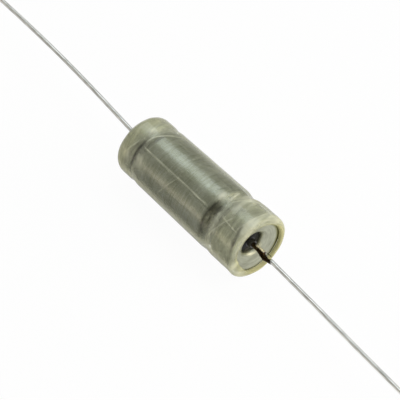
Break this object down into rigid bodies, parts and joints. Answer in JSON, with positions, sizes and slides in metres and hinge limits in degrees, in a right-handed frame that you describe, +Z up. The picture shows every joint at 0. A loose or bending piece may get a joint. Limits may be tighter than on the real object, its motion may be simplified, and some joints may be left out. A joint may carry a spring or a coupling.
{
  "type": "axial tantalum capacitor",
  "caption": "Axial wet tantalum capacitor: a beaded silver case with a sintered slug inside, in a clear shrink sleeve, with a long solder lead at each end.",
  "frame": {"origin": "middle of the sleeved body, on its axis", "axes": "+X along the body towards the positive lead, +Z up, with the body lying on its side"},
  "size_m": [0.1412, 0.0104, 0.0104],
  "materials": {
    "silver_case": "drawn silver, satin, lightly tarnished",
    "clear_film": "clear yellowish shrink film, glossy",
    "black_elastomer": "smooth moulded elastomer, half gloss",
    "white_fluoropolymer": "turned fluoropolymer, waxy",
    "sintered_tantalum": "porous sintered metal, dull",
    "tantalum_wire": "drawn wire, darkened brown by its welding heat",
    "gelled_acid": "cloudy gel",
    "tinned_wire": "tinned nickel wire, bright"
  },
  "bodies": {
    "root": {"case": "silver_case", "insulating_sleeve": "clear_film", "end_seal": "black_elastomer", "seal_spacer": "white_fluoropolymer", "bottom_spacer": "white_fluoropolymer", "anode_slug": "sintered_tantalum", "riser_wire": "tantalum_wire", "electrolyte_gel": "gelled_acid", "positive_lead": "tinned_wire", "negative_lead": "tinned_wire"}
  },
  "joints": []
}
